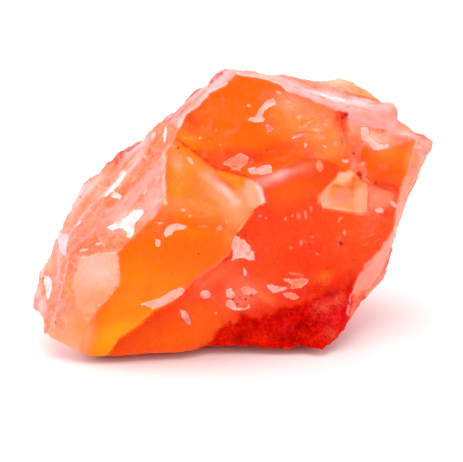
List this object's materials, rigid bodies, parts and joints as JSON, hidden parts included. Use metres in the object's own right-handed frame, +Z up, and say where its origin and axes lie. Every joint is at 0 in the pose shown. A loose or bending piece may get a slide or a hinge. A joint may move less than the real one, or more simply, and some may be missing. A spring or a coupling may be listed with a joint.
{
  "type": "rough carnelian",
  "caption": "Free-standing lump of rough orange-red chalcedony with broken, slightly hollow faces, a rounded bulge on one side and a small flat break that it rests on",
  "frame": {"origin": "on the table plane, below the middle of the stone's bounding box", "axes": "+Z is up out of the flat break that the stone rests on; +X runs along the length of the stone, towards its high shoulder; -Y is the side with the rounded bulge"},
  "size_m": [0.0525, 0.0324, 0.0354],
  "materials": {
    "carnelian": "waxy broken surface, slightly translucent, orange to deep red"
  },
  "bodies": {
    "root": {"carnelian": "carnelian"}
  },
  "joints": []
}
